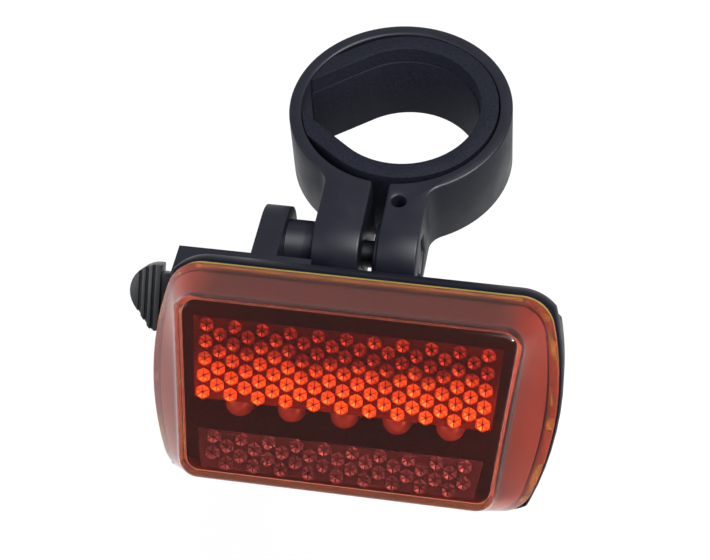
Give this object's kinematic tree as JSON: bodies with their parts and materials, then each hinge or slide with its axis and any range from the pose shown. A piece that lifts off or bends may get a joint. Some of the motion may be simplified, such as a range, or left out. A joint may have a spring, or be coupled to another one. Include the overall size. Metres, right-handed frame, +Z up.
{
  "type": "bike rear light",
  "caption": "Battery rear light for a bicycle: red lens over prism reflectors and LEDs, black case on a slide-off tilting bracket, with a split clamp for a seat post.",
  "frame": {"origin": "middle of the grip band's bore, halfway up the clamp ring", "axes": "+Z up along the clamp's bore, -Y towards the light, +X to the light's right as seen from behind the bicycle"},
  "size_m": [0.0794, 0.1053, 0.0415],
  "materials": {
    "black_plastic": "satin black moulded plastic",
    "grip_rubber": "matt black rubber",
    "zinc_steel": "zinc-plated steel",
    "seal_rubber": "olive-yellow seal",
    "frame_plastic": "matt black plastic",
    "board": "green solder mask",
    "led_epoxy": "tinted epoxy",
    "chip": "black epoxy",
    "cell_sleeve": "plain dark metallic sleeve",
    "contact_steel": "nickel-plated spring steel",
    "button_rubber": "matt dark rubber",
    "plunger_plastic": "plain plastic",
    "lens_red": "clear red plastic",
    "reflector_red": "red prism plastic"
  },
  "bodies": {
    "clamp": {"clamp_ring": "black_plastic", "grip_band": "grip_rubber", "clamp_bolt": "zinc_steel", "bolt_washer": "zinc_steel", "clamp_nut": "zinc_steel"},
    "bracket": {"bracket": "black_plastic", "latch_pin": "zinc_steel"},
    "latch": {"release_latch": "black_plastic"},
    "light": {"rear_case": "black_plastic", "lens_seal": "seal_rubber", "led_frame": "frame_plastic", "circuit_board": "board", "led_1": "led_epoxy", "led_2": "led_epoxy", "led_3": "led_epoxy", "led_4": "led_epoxy", "led_5": "led_epoxy", "controller_chip": "chip", "resistors": "chip", "mode_switch": "chip", "board_screws": "zinc_steel", "cell_upper": "cell_sleeve", "cell_lower": "cell_sleeve", "link_contact": "contact_steel", "positive_contact": "contact_steel", "negative_contact": "contact_steel", "spring_upper": "contact_steel", "spring_lower": "contact_steel"},
    "button": {"push_button": "button_rubber", "switch_plunger": "plunger_plastic"},
    "lens": {"lens": "lens_red", "upper_reflector": "reflector_red", "lower_reflector": "reflector_red"}
  },
  "joints": [
    {"name": "tilt", "type": "hinge", "parent": "clamp", "child": "bracket", "pos_m": [0, -0.03051, 0], "axis": [1, 0, 0], "range_deg": [-30, 75]},
    {"name": "light_slide", "type": "slide", "parent": "bracket", "child": "light", "axis": [1, 0, 0], "range_m": [0, 0.02]},
    {"name": "latch_press", "type": "hinge", "parent": "bracket", "child": "latch", "pos_m": [-0.02361, -0.04767, 0.00243], "axis": [0, -0.6613, -0.7501], "range_deg": [0, 9], "stiffness_Nm_per_rad": 0.05},
    {"name": "button_press", "type": "slide", "parent": "light", "child": "button", "axis": [0, -0.7501, 0.6613], "range_m": [0, 0.0005], "stiffness_N_per_m": 1000},
    {"name": "lens_pull", "type": "slide", "parent": "light", "child": "lens", "axis": [0, -0.7501, 0.6613], "range_m": [0, 0.02]}
  ]
}
